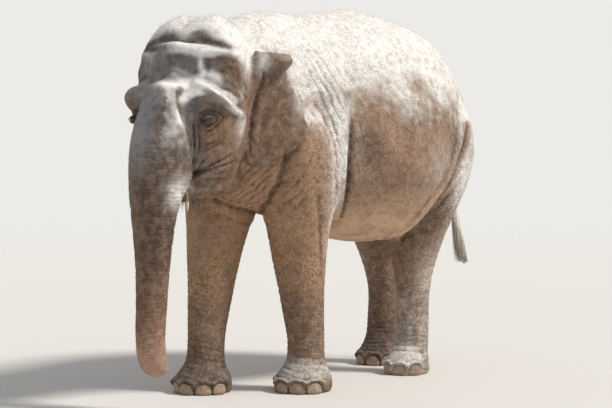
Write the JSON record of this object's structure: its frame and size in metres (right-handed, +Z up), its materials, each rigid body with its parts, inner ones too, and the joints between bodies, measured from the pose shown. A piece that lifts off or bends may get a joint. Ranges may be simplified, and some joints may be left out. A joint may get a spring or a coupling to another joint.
{
  "type": "asian elephant",
  "caption": "Life-size still model of an adult cow Asian elephant standing in mid-stride, trunk hanging, head turned slightly to the left.",
  "frame": {"origin": "on the floor, at the centre of the bounding box seen from above", "axes": "the elephant faces -Y, her left side is +X and +Z is up"},
  "size_m": [1.2078, 2.9291, 2.256],
  "materials": {
    "skin": "dry, wrinkled grey-brown hide with pale dust on the back",
    "eye": "wet, dark amber-brown",
    "tush": "smooth ivory",
    "toenail": "dull tan horn"
  },
  "bodies": {
    "root": {"ear_left": "skin", "ear_right": "skin", "eye_left": "eye", "eye_right": "eye", "foot_front_left": "skin", "foot_front_right": "skin", "foot_hind_left": "skin", "foot_hind_right": "skin", "head": "skin", "jaw": "skin", "lower_leg_front_left": "skin", "lower_leg_front_right": "skin", "lower_leg_hind_left": "skin", "lower_leg_hind_right": "skin", "nail_front_left_1": "toenail", "nail_front_left_2": "toenail", "nail_front_left_3": "toenail", "nail_front_left_4": "toenail", "nail_front_left_5": "toenail", "nail_front_right_1": "toenail", "nail_front_right_2": "toenail", "nail_front_right_3": "toenail", "nail_front_right_4": "toenail", "nail_front_right_5": "toenail", "nail_hind_left_1": "toenail", "nail_hind_left_2": "toenail", "nail_hind_left_3": "toenail", "nail_hind_left_4": "toenail", "nail_hind_right_1": "toenail", "nail_hind_right_2": "toenail", "nail_hind_right_3": "toenail", "nail_hind_right_4": "toenail", "neck": "skin", "tail_middle": "skin", "tail_root": "skin", "tail_tip": "skin", "torso": "skin", "trunk_middle": "skin", "trunk_tip": "skin", "trunk_upper": "skin", "tush_left": "tush", "tush_right": "tush", "upper_leg_front_left": "skin", "upper_leg_front_right": "skin", "upper_leg_hind_left": "skin", "upper_leg_hind_right": "skin"}
  },
  "joints": []
}
